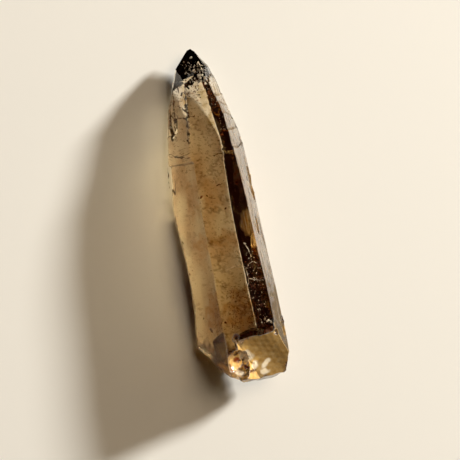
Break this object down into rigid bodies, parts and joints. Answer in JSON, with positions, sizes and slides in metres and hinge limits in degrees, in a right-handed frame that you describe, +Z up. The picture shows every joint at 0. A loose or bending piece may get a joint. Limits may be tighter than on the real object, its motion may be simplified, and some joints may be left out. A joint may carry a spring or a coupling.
{
  "type": "smoky lemurian quartz crystal",
  "caption": "Clear brown lemurian quartz point, tapering and six-sided, with a pointed tip and a broken base, lying on one prism face.",
  "frame": {"origin": "centre of the bounding box at the level of the face it lies on", "axes": "+Y along the crystal from its broken base to its tip, +X to the right seen from above, +Z up"},
  "size_m": [0.0198, 0.0742, 0.014],
  "materials": {
    "smoky_quartz": "natural crystal faces, clear brown, glossy with fine growth steps and etching"
  },
  "bodies": {
    "root": {"crystal": "smoky_quartz"}
  },
  "joints": []
}
